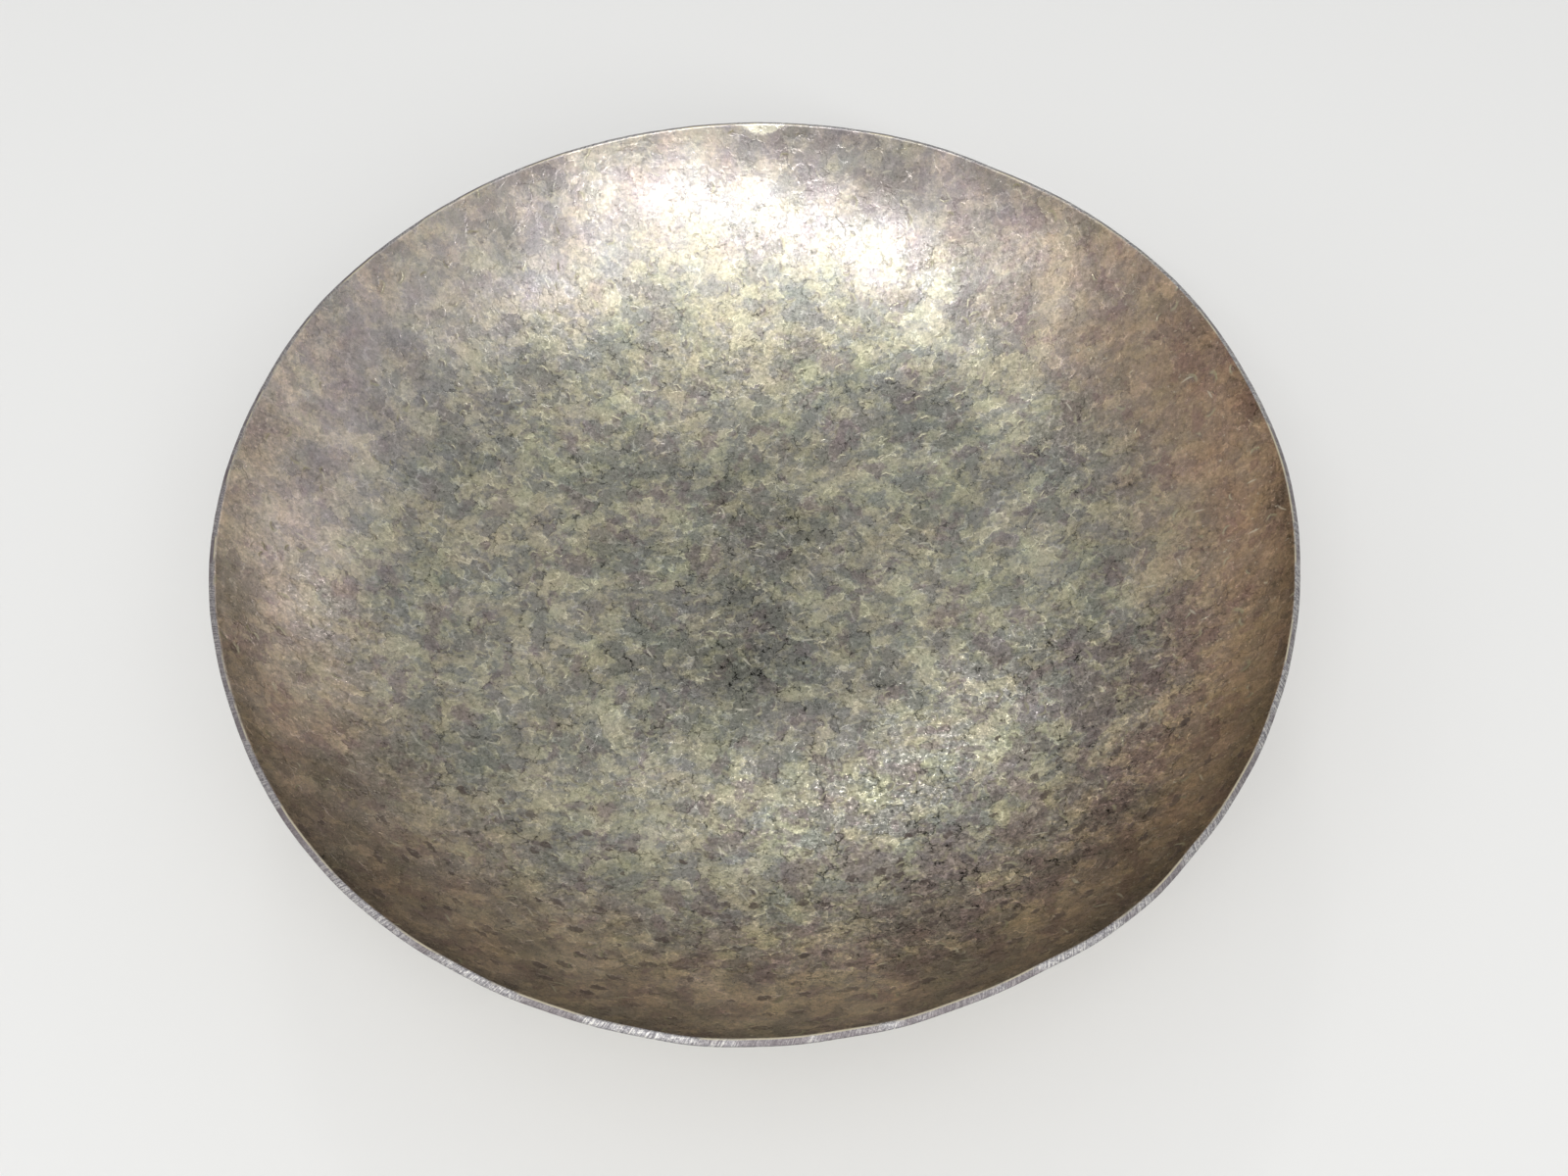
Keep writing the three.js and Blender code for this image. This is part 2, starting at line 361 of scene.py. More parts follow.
def nodeGroup(name, inputs, outputs):
    tree = bpy.data.node_groups.new(name, "ShaderNodeTree")
    for label, kind, value in inputs:
        socket = tree.interface.new_socket(label, in_out="INPUT", socket_type="NodeSocket" + kind)
        socket.default_value = value
    for label, kind in outputs:
        tree.interface.new_socket(label, in_out="OUTPUT", socket_type="NodeSocket" + kind)
    return tree, tree.nodes.new("NodeGroupInput").outputs, tree.nodes.new("NodeGroupOutput")


def math2(tree, operation, first, second=0.0):
    return put(tree, "Math", {0: first, 1: second}, operation=operation).outputs[0]


# The product of several parts, each a number or a socket
def times(tree, first, *others):
    for other in others:
        first = math2(tree, "MULTIPLY", first, other)
    return first


# A weighted sum of several parts, starting from a number or a socket
def summed(tree, start, *parts):
    for part, weight in parts:
        start = put(tree, "Math", {0: part, 1: weight, 2: start}, operation="MULTIPLY_ADD").outputs[0]
    return start


def between(tree, value, low, high, bottom=0.0, top=1.0):
    inputs = {"Value": value, "From Min": low, "From Max": high, "To Min": bottom, "To Max": top}
    return put(tree, "MapRange", inputs, interpolation_type="SMOOTHSTEP").outputs[0]


# A random number from 0 to 1, spread evenly over another range
def spread(tree, number, bottom, top=1.0):
    return put(tree, "MapRange", {"Value": number, "To Min": bottom, "To Max": top}).outputs[0]


def vectors(tree, operation, first, second=(0, 0, 0), output=0):
    return put(tree, "VectorMath", {0: first, 1: second}, operation=operation).outputs[output]


def dotted(tree, first, second):
    return vectors(tree, "DOT_PRODUCT", first, second, "Value")


def scaled(tree, vector, by):
    return put(tree, "VectorMath", {0: vector, "Scale": by}, operation="SCALE").outputs[0]


def flattened(tree, vector):
    return vectors(tree, "MULTIPLY", vector, (1, 1, 0))


def rotated(tree, vector, angle):
    return put(tree, "VectorRotate", {"Vector": vector, "Angle": angle}, rotation_type="Z_AXIS").outputs[0]


def split(tree, vector):
    return put(tree, "SeparateXYZ", {0: vector}).outputs


def noise(tree, vector, scale, detail=3.0, rough=0.5):
    inputs = {"Vector": vector, "Scale": scale, "Detail": detail, "Roughness": rough}
    return put(tree, "TexNoise", inputs).outputs


# A place pushed about by the colour of a noise
def jostled(tree, place, by, scale, detail=3.0, rough=0.5):
    return vectors(tree, "ADD", place, scaled(tree, noise(tree, place, scale, detail, rough)["Color"], by))


def voronoi(tree, vector, scale=1.0, feature="F1"):
    inputs = {"Vector": vector, "Scale": scale, "Randomness": 1.0}
    return put(tree, "TexVoronoi", inputs, voronoi_dimensions="2D", feature=feature).outputs


def mixed(tree, share, first, second, how="MIX"):
    return put(tree, "Mix", {0: share, 6: first, 7: second}, data_type="RGBA", blend_type=how).outputs[2]


def tinted(tree, colour, tint):
    return mixed(tree, 1.0, colour, tint, "MULTIPLY")


def opaque(colour):
    return (*colour, 1)


def ramped(tree, value, stops):
    made = put(tree, "ValToRGB", {"Fac": value})
    made.color_ramp.elements.remove(made.color_ramp.elements[1])
    for number, (at, colour) in enumerate(stops):
        stop = made.color_ramp.elements.new(at) if number else made.color_ramp.elements[0]
        stop.position = at
        stop.color = opaque(colour)
    return made.outputs[0]


def bumped(tree, height, distance):
    return put(tree, "Bump", {"Height": height, "Distance": distance, "Strength": 1.0}).outputs[0]


# Where line, lip and bevel lie from a cell's edge, in spacings, and the tilts at which line and lip show
scaleForm = {
    "line": (0.10, 0.02), "lip": (0.17, 0.06), "bevel": (0.0, 0.12),
    "lowSide": (0.0, -0.07), "highSide": (0.02, 0.09),
}


# Beaten scales: cells with ragged edges, each with a random tone and a random tilt, so that their edges
# stand out where the tilts differ. Some stretches of the edges carry painted shade, a thin dark line on a
# cell's low side, and others a painted highlight, a pale lip on its high side.
def scaleGroup():
    tree, given, out = nodeGroup(
        "beatenScales",
        [("Place", "Vector", (0, 0, 0)), ("Spacing", "Float", 3.6)],
        [("Tone", "Float"), ("Line", "Float"), ("Highlight Lip", "Float"), ("Height", "Float")],
    )
    place = scaled(tree, given["Place"], math2(tree, "DIVIDE", 1.0, given["Spacing"]))
    ragged = flattened(tree, jostled(tree, place, by=1.7, scale=1.2, rough=0.65))
    cells = voronoi(tree, ragged)
    fromEdge = voronoi(tree, ragged, feature="DISTANCE_TO_EDGE")["Distance"]
    lean = vectors(tree, "SUBTRACT", cells["Color"], (0.5, 0.5, 0.5))
    tilt = dotted(tree, vectors(tree, "SUBTRACT", ragged, cells["Position"]), lean)
    stretch = noise(tree, place, scale=0.9, detail=1.0)["Fac"]
    line = times(tree, between(tree, fromEdge, *scaleForm["line"]), between(tree, stretch, 0.46, 0.54))
    lip = times(tree, between(tree, fromEdge, *scaleForm["lip"]), between(tree, stretch, 0.56, 0.46))
    setInputs(tree, out, {
        "Tone": split(tree, cells["Color"])[0],
        "Line": times(tree, line, between(tree, tilt, *scaleForm["lowSide"])),
        "Highlight Lip": times(tree, lip, between(tree, tilt, *scaleForm["highSide"])),
        "Height": times(tree, tilt, between(tree, fromEdge, *scaleForm["bevel"])),
    })
    return tree


# The patina's noises, as their scale per millimetre, and where on its noise each layer starts and is full
patinaNoise = {
    "bend": 0.05, "clouds": 0.045, "mottle": 0.20, "grain": 0.8, "stain": 0.13, "drift": 0.10,
}
patinaEdge = {"crust": (0.45, 0.53), "flake": (0.56, 0.60), "violet": (0.52, 0.58), "fleck": (0.58, 0.68)}
mottleForm = {"turn": math.radians(-25), "stretch": (0.75, 1.1, 1)}
hueDrift = {"by": (0.28, 0.14, 0.34), "from": (0.86, 0.93, 0.83)}

# The group's inputs that a finish gives, and the finish's names for them
patinaColours = {
    "Grey": "grey", "Buff": "buff", "Flake": "flake", "Violet": "violet",
    "Wall Tint": "wallTint", "Warm Tint": "warmTint", "Cool Tint": "coolTint",
}
patinaSides = {"Warm Side": "warmSide", "Cool Side": "coolSide", "Stain Side": "stainSide"}


# Patina: grey tarnish under a crisp-edged buff crust, where clouds, stretched mottling and the scales' tones
# add up, with violet stains over both, thickest low on the wall at the stained side, and a slow drift of
# hue. Grain and clouds then lighten or darken it, with painted shade as thin dark lines and painted
# highlight as pale lips along the scales' edges. It is calmer up the wall, with painted shade just under the
# rim except at the cool side, where inside the wall's cooler tint is a painted highlight.
def patinaGroup():
    tree, given, out = nodeGroup(
        "bronzePatina",
        [("Place", "Vector", (0, 0, 0)), ("Bearing", "Vector", (1, 0, 0)), ("Up Sheet", "Float", 0.5),
         ("Scale Tone", "Float", 0.5), ("Fine Tone", "Float", 0.5), ("Line", "Float", 0.0),
         ("Highlight Lip", "Float", 0.0), ("Raised", "Float", 0.0)]
        + [(label, "Color", (1, 1, 1, 1)) for label in patinaColours]
        + [(label, "Vector", (1, 0, 0)) for label in patinaSides],
        [("Color", "Color"), ("Shine", "Float"), ("Fleck", "Float"), ("Height", "Float")],
    )
    place, bearing, share = given["Place"], given["Bearing"], given["Up Sheet"]
    bent = jostled(tree, place, by=10.0, scale=patinaNoise["bend"], detail=1.0)
    streaked = put(tree, "Mapping", {
        "Vector": bent, "Rotation": (0, 0, mottleForm["turn"]), "Scale": mottleForm["stretch"],
    }).outputs[0]
    clouds = noise(tree, bent, patinaNoise["clouds"], detail=2.0, rough=0.6)["Fac"]
    mottle = noise(tree, streaked, patinaNoise["mottle"], detail=5.0, rough=0.70)["Fac"]
    grain = noise(tree, place, patinaNoise["grain"], detail=2.0, rough=0.95)["Fac"]
    stainSide = dotted(tree, bearing, given["Stain Side"])
    coolSide = dotted(tree, bearing, given["Cool Side"])
    # Near is 1 low on the wall at the stained side. Calm rises up the wall, and lively falls with it.
    near = times(
        tree, between(tree, stainSide, 0.5, 0.95), between(tree, share, 0.35, 0.6),
        between(tree, share, 0.95, 0.75),
    )
    calm = times(tree, between(tree, share, 0.60, 0.88, 0.0, 0.52), summed(tree, 1.0, (near, -0.6)))
    lively = summed(tree, 1.0, (calm, -1.0), (near, 0.35))

    field = summed(
        tree, -0.295, (mottle, 1.0), (clouds, 0.35), (given["Scale Tone"], 0.16), (given["Fine Tone"], 0.08),
    )
    crust = between(tree, field, *patinaEdge["crust"])
    evened = summed(tree, 0.5, (summed(tree, -0.5, (crust, 1.0)), lively))
    colour = mixed(tree, evened, given["Grey"], given["Buff"])
    flake = times(tree, between(tree, field, *patinaEdge["flake"]), lively, 0.6)
    colour = mixed(tree, flake, colour, given["Flake"])

    stain = noise(tree, bent, patinaNoise["stain"], detail=4.0, rough=0.65)["Fac"]
    stain = summed(tree, stain, (given["Scale Tone"], -0.07), (near, 0.075))
    spared = times(tree, between(tree, coolSide, 0.2, 0.9), between(tree, share, 0.4, 0.7))
    violet = times(
        tree, between(tree, stain, *patinaEdge["violet"], 0.0, 0.75), summed(tree, 1.0, (calm, -0.5)),
        summed(tree, 1.0, (spared, -0.6)),
    )
    colour = mixed(tree, violet, colour, given["Violet"])

    drift = noise(tree, place, patinaNoise["drift"], detail=5.0, rough=0.65)["Color"]
    drift = {0: drift, 1: hueDrift["by"], 2: hueDrift["from"]}
    colour = tinted(tree, colour, put(tree, "VectorMath", drift, operation="MULTIPLY_ADD").outputs[0])

    speckle = times(tree, math2(tree, "SUBTRACT", grain, 0.5), summed(tree, 1.2, (calm, -0.6), (near, 0.5)))
    # Painted shade: darker just under the rim, except at the cool side
    shadow = times(tree, between(tree, share, 0.93, 1.0), between(tree, coolSide, 0.3, -0.3))
    tone = summed(
        tree, 0.18, (speckle, 1.35), (clouds, 1.1), (given["Scale Tone"], 0.10), (given["Fine Tone"], 0.08),
        (times(tree, given["Line"], lively), -0.50), (times(tree, given["Highlight Lip"], lively), 0.55),
        (given["Raised"], 0.06), (between(tree, share, 0.0, 0.5), 0.25), (shadow, -0.32),
    )
    tone = put(tree, "CombineColor", {0: tone, 1: tone, 2: tone}).outputs[0]
    colour = tinted(tree, colour, tone)

    # The wall has its own tint, and leans to a warmer one at one side and a cooler one at another. Inside,
    # the cooler one is painted highlight: lighter and bluer where the long lamp's highlight lies on the back
    # wall.
    wall = between(tree, share, 0.58, 0.92)
    colour = mixed(tree, wall, colour, tinted(tree, colour, given["Wall Tint"]))
    for side, first, last, low in (("Warm", 0.25, 1.0, 0.60), ("Cool", -0.2, 0.8, 0.55)):
        facing = dotted(tree, bearing, given[side + " Side"])
        cover = times(tree, between(tree, facing, first, last), between(tree, share, low, 0.92))
        colour = mixed(tree, cover, colour, tinted(tree, colour, given[side + " Tint"]))

    fleck = times(tree, between(tree, grain, *patinaEdge["fleck"]), summed(tree, 1.0, (calm, -0.8)))
    shine = summed(tree, between(tree, grain, 0.3, 0.6), (crust, -0.6), (violet, -0.3))
    setInputs(tree, out, {"Color": colour, "Shine": shine, "Fleck": fleck, "Height": grain})
    return tree


# The map that the pits and blots lie on: millimetres for a radian round it, fewer than there are on the
# sheet, so that they come out long, and for the whole way up it
wallMap = {"around": 55.0, "up": 130.0}
pitForm = {"Spacing": 4.2, "Size": 0.29, "Highest": 1.05}
blotForm = {"Spacing": 4.8, "Size": 0.36, "Highest": 0.86}  # they end this share of the way up the sheet
spotSpread = 0.35  # the smallest and the faintest spot, as a share of the full one


# Oval pits or blots along one side of the wall: the middles of sparse cells on a flat map of it, which runs
# round from that side
def pitGroup():
    tree, given, out = nodeGroup(
        "ovalPits",
        [("Place", "Vector", (0, 0, 0)), ("Bearing", "Vector", (1, 0, 0)), ("Up Sheet", "Float", 0.5),
         ("Side", "Vector", (0, -1, 0)), ("Spacing", "Float", 5.0), ("Size", "Float", 0.25),
         ("Cover", "Float", 0.5), ("Highest", "Float", 1.0)],
        [("Mask", "Float")],
    )
    bearing, share = given["Bearing"], given["Up Sheet"]
    facing = dotted(tree, bearing, given["Side"])
    beside = split(tree, vectors(tree, "CROSS_PRODUCT", given["Side"], bearing))[2]
    around = times(tree, math2(tree, "ARCTAN2", beside, facing), wallMap["around"])
    flat = put(tree, "CombineXYZ", {0: around, 1: times(tree, share, wallMap["up"])}).outputs[0]
    wobble = scaled(tree, noise(tree, given["Place"], scale=0.9, detail=2.0)["Color"], by=2.2)
    cells = voronoi(tree, vectors(tree, "ADD", flat, wobble), math2(tree, "DIVIDE", 1.0, given["Spacing"]))
    number = split(tree, cells["Color"])
    room = summed(tree, given["Highest"], (share, -1.0))
    cover = times(
        tree, given["Cover"], between(tree, facing, 0.25, 0.85), between(tree, share, 0.45, 0.70),
        between(tree, room, 0.0, 0.1),
    )
    size = times(tree, given["Size"], spread(tree, number[1], spotSpread))
    spot = between(tree, cells["Distance"], size, times(tree, size, 0.6))
    depth = spread(tree, number[2], spotSpread)
    chosen = math2(tree, "LESS_THAN", number[0], cover)
    setInputs(tree, out, {"Mask": times(tree, spot, depth, chosen)})
    return tree


dintRadius = (0.22, 0.42)  # the smallest and the largest, in spacings


# Dints from the edge of the hammer's face: a shallow dish in some cells, cut steep along one side, where a
# pale crescent is a painted highlight, with a crescent of painted shade inside it. Most are on the ring
# where the floor turns up.
def dintGroup():
    tree, given, out = nodeGroup(
        "hammerDints",
        [("Place", "Vector", (0, 0, 0)), ("Up Sheet", "Float", 0.5), ("Spacing", "Float", 5.5),
         ("Cover", "Float", 0.3)],
        [("Highlight Edge", "Float"), ("Shade", "Float"), ("Height", "Float")],
    )
    share = given["Up Sheet"]
    flat = flattened(tree, jostled(tree, given["Place"], by=1.4, scale=0.6, detail=2.0))
    cells = voronoi(tree, flat, math2(tree, "DIVIDE", 1.0, given["Spacing"]))
    number = split(tree, cells["Color"])
    ring = times(tree, between(tree, share, 0.25, 0.45), between(tree, share, 0.85, 0.65))
    cover = times(tree, given["Cover"], summed(tree, 0.3, (ring, 0.7)))
    chosen = math2(tree, "LESS_THAN", number[2], cover)
    reach = math2(tree, "DIVIDE", cells["Distance"], spread(tree, number[0], *dintRadius))
    offset = vectors(tree, "NORMALIZE", vectors(tree, "SUBTRACT", flat, cells["Position"]))
    lean = flattened(tree, vectors(tree, "SUBTRACT", cells["Color"], (0.5, 0.5, 0.5)))
    side = dotted(tree, offset, vectors(tree, "NORMALIZE", lean))
    steep = times(tree, between(tree, side, 0.35, 0.95), chosen)
    fromEdge = math2(tree, "ABSOLUTE", math2(tree, "SUBTRACT", reach, 1.0))
    fromShade = math2(tree, "ABSOLUTE", math2(tree, "SUBTRACT", reach, 0.66))
    setInputs(tree, out, {
        "Highlight Edge": times(tree, between(tree, fromEdge, 0.28, 0.06), steep),
        "Shade": times(tree, between(tree, fromShade, 0.30, 0.05), steep),
        "Height": times(tree, between(tree, reach, 1.05, 0.85), steep, -1.0),
    })
    return tree


# How far places are squeezed, the cells per squeezed millimetre, and where a nick's edge starts and is full
nickForm = {"squeeze": (0.18, 1.0, 1.0), "scale": 0.42, "edge": (0.14, 0.06)}


# Short pale nicks: the middles of sparse cells on places squeezed along one way
def nickGroup():
    tree, given, out = nodeGroup(
        "paleNicks",
        [("Place", "Vector", (0, 0, 0)), ("Turn", "Float", 0.0), ("Cover", "Float", 0.2)],
        [("Mask", "Float")],
    )
    bent = jostled(tree, given["Place"], by=3.0, scale=0.15, detail=1.0)
    squeezed = vectors(tree, "MULTIPLY", rotated(tree, bent, given["Turn"]), nickForm["squeeze"])
    cells = voronoi(tree, squeezed, nickForm["scale"])
    chosen = math2(tree, "LESS_THAN", split(tree, cells["Color"])[0], given["Cover"])
    nick = between(tree, cells["Distance"], *nickForm["edge"])
    setInputs(tree, out, {"Mask": times(tree, nick, chosen)})
    return tree


# The filed rim: strokes across it, from noise on the bearing alone, so that each line runs straight over
# the cut face, with fine grain over them, and the arris along its inner corner, rubbed bare and painted pale
# as a highlight
def fileGroup():
    tree, given, out = nodeGroup(
        "fileStrokes",
        [("Place", "Vector", (0, 0, 0)), ("Bearing", "Vector", (0, 0, 0)), ("Strokes", "Float", 260.0),
         ("Slant", "Float", 0.0)],
        [("Strokes", "Float"), ("Arris", "Float")],
    )
    east, north, over = split(tree, given["Bearing"])
    outward = put(tree, "CombineXYZ", {0: east, 1: north}).outputs[0]
    slanted = rotated(tree, outward, times(tree, over, given["Slant"]))
    lines = noise(tree, slanted, given["Strokes"], rough=0.65)["Fac"]
    grain = noise(tree, given["Place"], scale=2.2, rough=0.8)["Fac"]
    setInputs(tree, out, {
        "Strokes": summed(tree, -0.15, (lines, 0.70), (grain, 0.60)),
        "Arris": between(tree, over, 0.24, 0.10),
    })
    return tree


groups = {
    "patina": patinaGroup(), "scales": scaleGroup(), "pits": pitGroup(), "dints": dintGroup(),
    "nicks": nickGroup(), "file": fileGroup(),
}
print("node groups:", ", ".join(groups))


# A material whose shader has these values, with its node tree and its shader
def newMaterial(name, inputs):
    material = bpy.data.materials.new(name)
    material.use_nodes = True
    shader = material.node_tree.nodes["Principled BSDF"]
    setInputs(material.node_tree, shader, inputs)
    return material, material.node_tree, shader


def placed(tree, name, inputs):
    made = tree.nodes.new("ShaderNodeGroup")
    made.node_tree = groups[name]
    setInputs(tree, made, inputs)
    return made.outputs


def attribute(tree, name, output="Fac"):
    return put(tree, "Attribute", attribute_name=name).outputs[output]


def toward(degrees):
    return (math.cos(math.radians(degrees)), math.sin(math.radians(degrees)), 0)


# How fully each kind of mark covers the patina, how a pit is sunk and dulled, and the metres that a height
# of 1 stands for
markCover = {"blots": 0.5, "pits": 0.8, "dintShade": 0.50, "dintHighlight": 0.75, "nicks": 0.55}
pitRelief = {"height": -0.05, "rough": 0.15}
darkTint = (0.75, 0.72, 0.72)  # of the violet, for blots and for the shade in a dint
bumpHeight = 0.001


# The patinated sheet, inside or outside, with its own tints, marks and pits
def patinatedBronze(name, finish):
    material, tree, shader = newMaterial(name, {"Metallic": 1.0})
    place = attribute(tree, "onSheet", "Vector")
    bearing, share = attribute(tree, "bearing", "Vector"), attribute(tree, "upSheet")
    where = {"Place": place, "Bearing": bearing, "Up Sheet": share}
    scales = placed(tree, "scales", {"Place": place, "Spacing": finish["scale"]})
    fine = placed(tree, "scales", {"Place": place, "Spacing": finish["fineScale"]})
    patina = placed(tree, "patina", {
        **where, "Scale Tone": scales["Tone"], "Fine Tone": fine["Tone"],
        "Line": summed(tree, scales["Line"], (fine["Line"], 0.6)),
        "Highlight Lip": summed(tree, scales["Highlight Lip"], (fine["Highlight Lip"], 0.5)),
        "Raised": attribute(tree, "raised"),
        **{label: opaque(finish[key]) for label, key in patinaColours.items()},
        **{label: toward(finish[key]) for label, key in patinaSides.items()},
    })
    pits = placed(tree, "pits", {
        **where, **pitForm, "Side": toward(finish["pitSide"]), "Cover": finish["pitCover"],
    })
    blots = placed(tree, "pits", {
        **where, **blotForm, "Side": toward(finish["stainSide"]), "Cover": finish["blotCover"],
    })
    dints = placed(tree, "dints", {
        "Place": place, "Up Sheet": share, "Spacing": finish["dint"], "Cover": finish["dintCover"],
    })
    dark = tuple(part * tint for part, tint in zip(finish["violet"], darkTint))
    colour = patina["Color"]
    for mask, cover, paint in (
        (blots["Mask"], markCover["blots"], dark),
        (pits["Mask"], markCover["pits"], finish["pit"]),
        # The dints' crescents are painted shade inside and a painted highlight along the steep edge
        (dints["Shade"], markCover["dintShade"], dark),
        (dints["Highlight Edge"], markCover["dintHighlight"], finish["flake"]),
    ):
        colour = mixed(tree, times(tree, mask, cover), colour, opaque(paint))
    for turn in finish["nickTurns"]:
        nicks = {"Place": place, "Turn": math.radians(turn), "Cover": finish["nickCover"]}
        nicks = placed(tree, "nicks", nicks)
        colour = mixed(tree, times(tree, nicks["Mask"], markCover["nicks"]), colour, opaque(finish["bare"]))

    # Bare metal where the file cut, with a ragged edge
    wander = noise(tree, place, scale=0.9, detail=4.0, rough=0.6)["Fac"]
    ragged = summed(tree, attribute(tree, "filed"), (wander, 0.5))
    colour = mixed(tree, between(tree, ragged, 0.30, 0.42), colour, opaque(finish["bare"]))

    rough = summed(
        tree, finish["rough"], (patina["Shine"], -finish["shineFall"]), (pits["Mask"], pitRelief["rough"]),
        (patina["Fleck"], -finish["fleckGloss"]),
    )
    height = summed(
        tree, 0.0, (patina["Height"], finish["grain"]), (scales["Height"], finish["scaleTilt"]),
        (pits["Mask"], pitRelief["height"]), (dints["Height"], finish["dintDepth"]),
    )
    bump = bumped(tree, height, bumpHeight)
    setInputs(tree, shader, {"Base Color": colour, "Roughness": rough, "Normal": bump})
    return material


# The bare cut rim: file strokes from dull to glinting, tarnished in patches and most at one side
def cutRimBronze(finish):
    material, tree, shader = newMaterial("cutRimBronze", {"Metallic": 1.0})
    place = scaled(tree, put(tree, "TexCoord").outputs["Object"], millimetres)
    bearing = attribute(tree, "bearing", "Vector")
    filed = placed(tree, "file", {
        "Place": place, "Bearing": bearing, "Strokes": finish["strokes"], "Slant": finish["slant"],
    })
    tones = (finish["dull"], finish["bright"], finish["glint"])
    colour = ramped(tree, filed["Strokes"], zip(finish["levels"], tones))
    tarnish = noise(tree, place, scale=0.09, detail=5.0, rough=0.6)["Fac"]
    tarnishSide = dotted(tree, bearing, toward(finish["tarnishSide"]))
    patches = between(tree, tarnish, 0.45, 0.62, 0.0, 0.6)
    cover = summed(tree, patches, (between(tree, tarnishSide, 0.3, 0.95), 0.4))
    colour = mixed(tree, cover, colour, opaque(finish["tarnish"]))
    # The inner corner's pale gold: worn bare metal, with a painted highlight on it
    wornAndHighlit = times(tree, filed["Arris"], between(tree, tarnish, 0.44, 0.60, 0.0, 0.75))
    colour = mixed(tree, wornAndHighlit, colour, opaque(finish["arris"]))
    rough = between(tree, tarnish, 0.3, 0.7, *finish["rough"])
    bump = bumped(tree, filed["Strokes"], finish["strokeDepth"])
    setInputs(tree, shader, {"Base Color": colour, "Roughness": rough, "Normal": bump})
    return material


# Sides are azimuths in degrees, and spacings are in millimetres
insideFinish = {
    "grey": (0.312, 0.306, 0.268), "buff": (0.398, 0.380, 0.292), "flake": (0.50, 0.47, 0.335),
    "violet": (0.272, 0.236, 0.222), "stainSide": -52, "blotCover": 0.7,
    "wallTint": (1.32, 1.12, 1.14), "warmSide": -8, "warmTint": (0.73, 0.66, 0.58),
    # The cool tint is painted highlight: it lightens and blues the back wall where the lamp's highlight lies
    "coolSide": 118, "coolTint": (1.11, 1.24, 1.38),
    "bare": (0.80, 0.76, 0.62), "pit": (0.14, 0.11, 0.10), "pitSide": -80, "pitCover": 0.85,
    "nickTurns": (5, 60), "nickCover": 0.04, "dint": 5.0, "dintCover": 0.55, "dintDepth": 0.06,
    "rough": 0.39, "shineFall": 0.08, "fleckGloss": 0.11, "grain": 0.045,
    "scale": 3.6, "scaleTilt": 0.10, "fineScale": 1.3,
}
outsideFinish = {
    "grey": (0.25, 0.24, 0.20), "buff": (0.42, 0.38, 0.26), "flake": (0.50, 0.45, 0.30),
    "violet": (0.24, 0.20, 0.19), "stainSide": 100, "blotCover": 0.4,
    "wallTint": (1.08, 0.96, 0.92), "warmSide": 40, "warmTint": (0.95, 0.85, 0.75),
    "coolSide": 200, "coolTint": (0.95, 0.98, 1.0),
    "bare": (0.72, 0.66, 0.50), "pit": (0.14, 0.11, 0.10), "pitSide": 90, "pitCover": 0.3,
    "nickTurns": (20, -65), "nickCover": 0.06, "dint": 7.0, "dintCover": 0.3, "dintDepth": 0.05,
    "rough": 0.40, "shineFall": 0.10, "fleckGloss": 0.10, "grain": 0.045,
    "scale": 5.0, "scaleTilt": 0.10, "fineScale": 2.0,
}
rimFinish = {
    "dull": (0.20, 0.19, 0.20), "bright": (0.38, 0.37, 0.38), "glint": (0.72, 0.70, 0.66),
    "levels": (0.42, 0.50, 0.61),  # of the strokes, where those three colours lie
    "tarnish": (0.20, 0.17, 0.18), "tarnishSide": 180, "arris": (0.74, 0.68, 0.50), "rough": (0.50, 0.64),
    "strokes": 520.0, "slant": 0.010, "strokeDepth": 0.00006,
}

bowl = bowlSheet()
for material in (
    patinatedBronze("insideBronze", insideFinish), cutRimBronze(rimFinish),
    patinatedBronze("outsideBronze", outsideFinish),
):
    bowl.data.materials.append(material)
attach(bowl, "root")
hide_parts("bowl")
print("bowl:", sum(len(face.vertices) - 2 for face in bowl.data.polygons), "triangles")

# A plain pale floor, and the light all round
studio = {
    "floorRadius": 4.0,
    "floorSides": 96,
    "floorColour": (0.80, 0.80, 0.79),
    "floorRoughness": 0.9,
    "floorSpecular": 0.2,
    "worldColour": (1.0, 1.0, 1.0),
    "worldLevel": 0.53,
}


def studioFloor():
    sides = studio["floorSides"]
    steps = np.arange(sides) * 2 * math.pi / sides
    points = np.stack([np.cos(steps), np.sin(steps), np.zeros(sides)], axis=-1) * studio["floorRadius"]
    mesh = bpy.data.meshes.new("studioFloor")
    mesh.from_pydata(points.tolist(), [], [list(range(sides))])
    floor = bpy.data.objects.new("studioFloor", mesh)
    bpy.context.scene.collection.objects.link(floor)
    mesh.materials.append(newMaterial("paleFloor", {
        "Base Color": opaque(studio["floorColour"]), "Roughness": studio["floorRoughness"],
        "Specular IOR Level": studio["floorSpecular"],
    })[0])


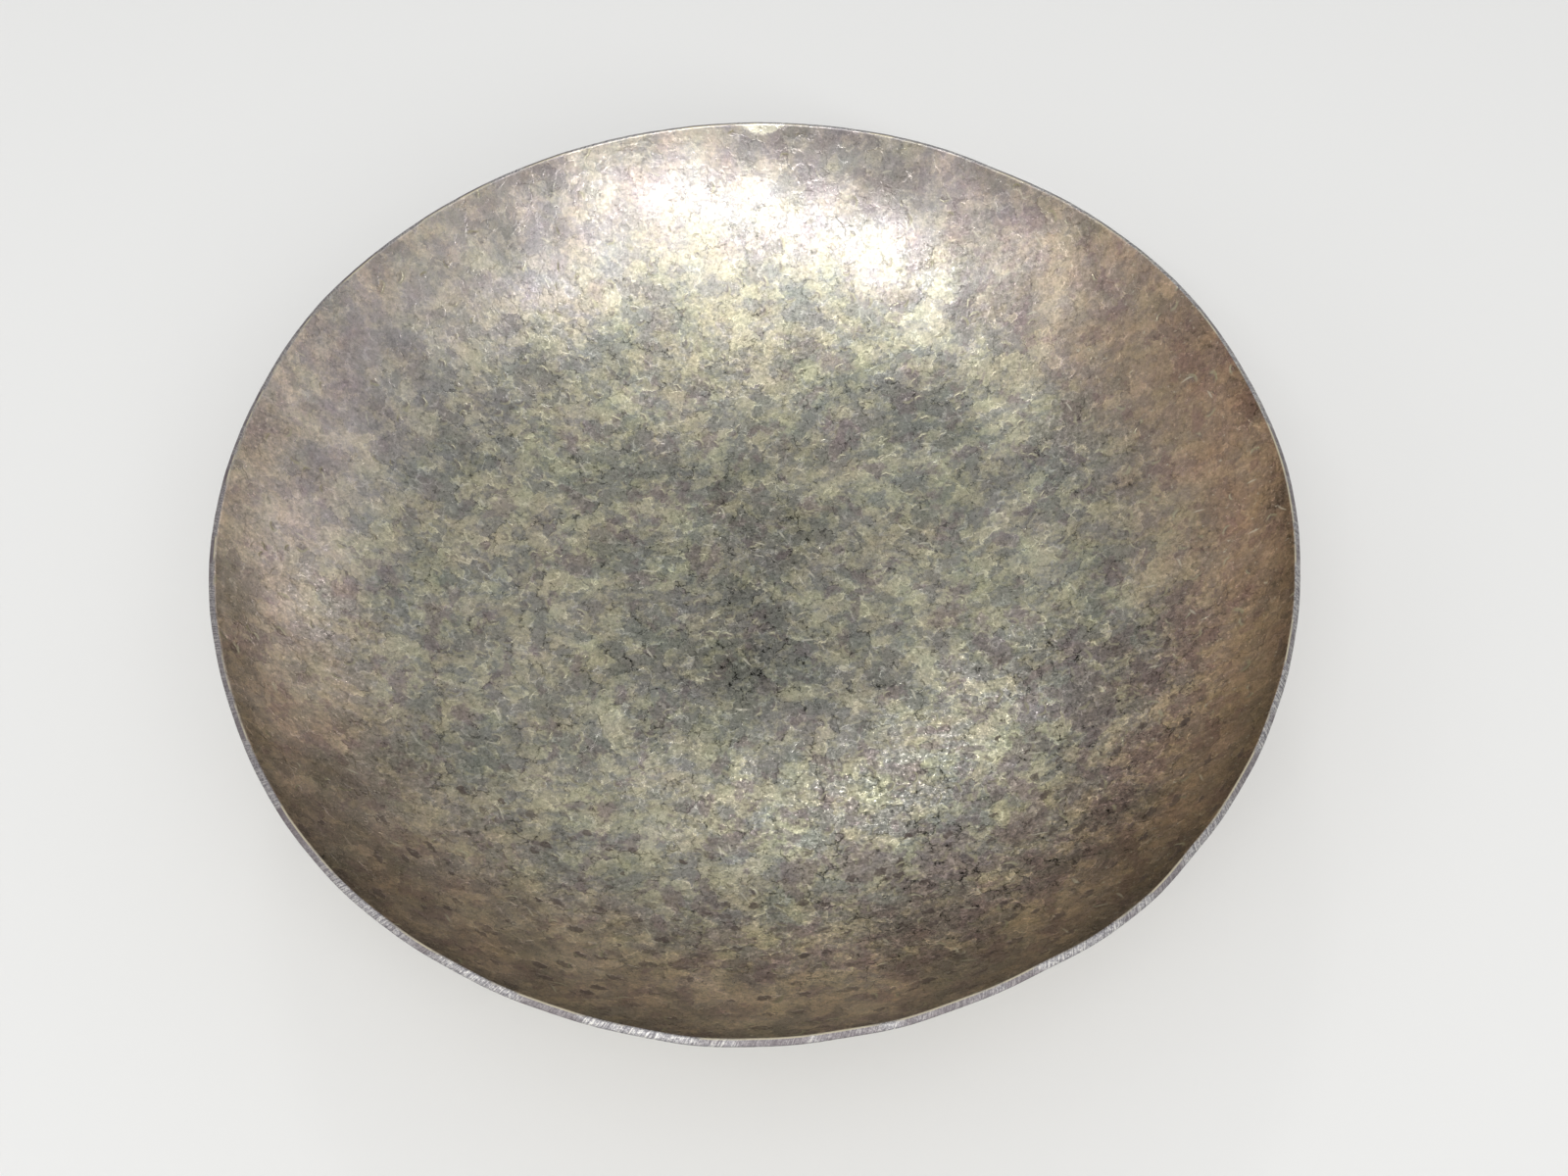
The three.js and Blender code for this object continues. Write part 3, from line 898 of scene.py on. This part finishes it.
# Rectangular lamps: middle, size and turn about Z of the lamp's long side, aimed at the bowl, and the
# radiance of the lamp's face, from which its power is pi * area * radiance
lamps = {
    "longLamp": {"middle": (0.0, -1.418, 1.352), "size": (2.8, 0.16), "turn": -32.5, "radiance": 11.0},
    "overhead": {"middle": (-0.15, -0.95, 2.1), "size": (2.6, 1.6), "turn": -10, "radiance": 0.95},
    "ceilingLamp": {"middle": (0.1, 0.0, 2.3), "size": (0.8, 0.8), "turn": 0, "radiance": 0.95},
    "frontRightLamp": {"middle": (1.245, -0.905, 1.71), "size": (0.7, 0.7), "turn": 54, "radiance": 2.1},
    "frontLeftLamp": {"middle": (-1.725, -0.996, 1.15), "size": (0.7, 0.7), "turn": -60, "radiance": 1.6},
    "leftLamp": {"middle": (-1.47, 0.155, 1.76), "size": (0.7, 0.7), "turn": -96, "radiance": 0.5},
    "backSoftbox": {"middle": (-0.34, 1.95, 1.83), "size": (0.34, 0.26), "turn": 10, "radiance": 9.5},
    "lowLamp": {"middle": (1.8, 1.74, 0.58), "size": (0.12, 0.10), "turn": -45, "radiance": 25.0},
}


def softLamp(name, lamp):
    data = bpy.data.lights.new(name, "AREA")
    data.shape = "RECTANGLE"
    data.size, data.size_y = lamp["size"]
    data.energy = math.pi * lamp["size"][0] * lamp["size"][1] * lamp["radiance"]
    made = bpy.data.objects.new(name, data)
    middle = np.array(lamp["middle"])
    # The lamp's own Z points away from the bowl, and its X lies along the turn
    away = middle / np.linalg.norm(middle)
    turn = math.radians(lamp["turn"])
    along = np.array([math.cos(turn), math.sin(turn), 0])
    along = along - away * (along @ away)
    along /= np.linalg.norm(along)
    across = np.cross(away, along)
    made.matrix_world = [(*along, 0), (*across, 0), (*away, 0), (*middle, 1)]
    bpy.context.scene.collection.objects.link(made)


def worldLight():
    world = bpy.data.worlds.new("studio")
    world.use_nodes = True
    setInputs(world.node_tree, world.node_tree.nodes["Background"], {
        "Color": opaque(studio["worldColour"]), "Strength": studio["worldLevel"],
    })
    bpy.context.scene.world = world


studioFloor()
for name, lamp in lamps.items():
    softLamp(name, lamp)
worldLight()

# The photograph's view: its lens and pitch from the rim's ellipse, and its place from where the rim lies
view = {
    "lens": 29.115, "sensor": 36.0, "nearest": 0.01,
    "pitch": 60.0, "roll": 0.24, "place": (0.0057, -0.1484, 0.2625),
}


def photoCamera():
    data = bpy.data.cameras.new("photoCamera")
    data.lens, data.sensor_width, data.clip_start = view["lens"], view["sensor"], view["nearest"]
    camera = bpy.data.objects.new("photoCamera", data)
    camera.location = view["place"]
    camera.rotation_mode = "XYZ"
    camera.rotation_euler = (math.radians(90 - view["pitch"]), 0, 0)
    bpy.context.scene.collection.objects.link(camera)
    bpy.context.view_layer.update()
    camera.rotation_euler.rotate_axis("Z", math.radians(view["roll"]))
    bpy.context.scene.camera = camera


photoCamera()
bpy.context.scene.view_settings.view_transform = "Standard"

print("camera, floor and lamps set")
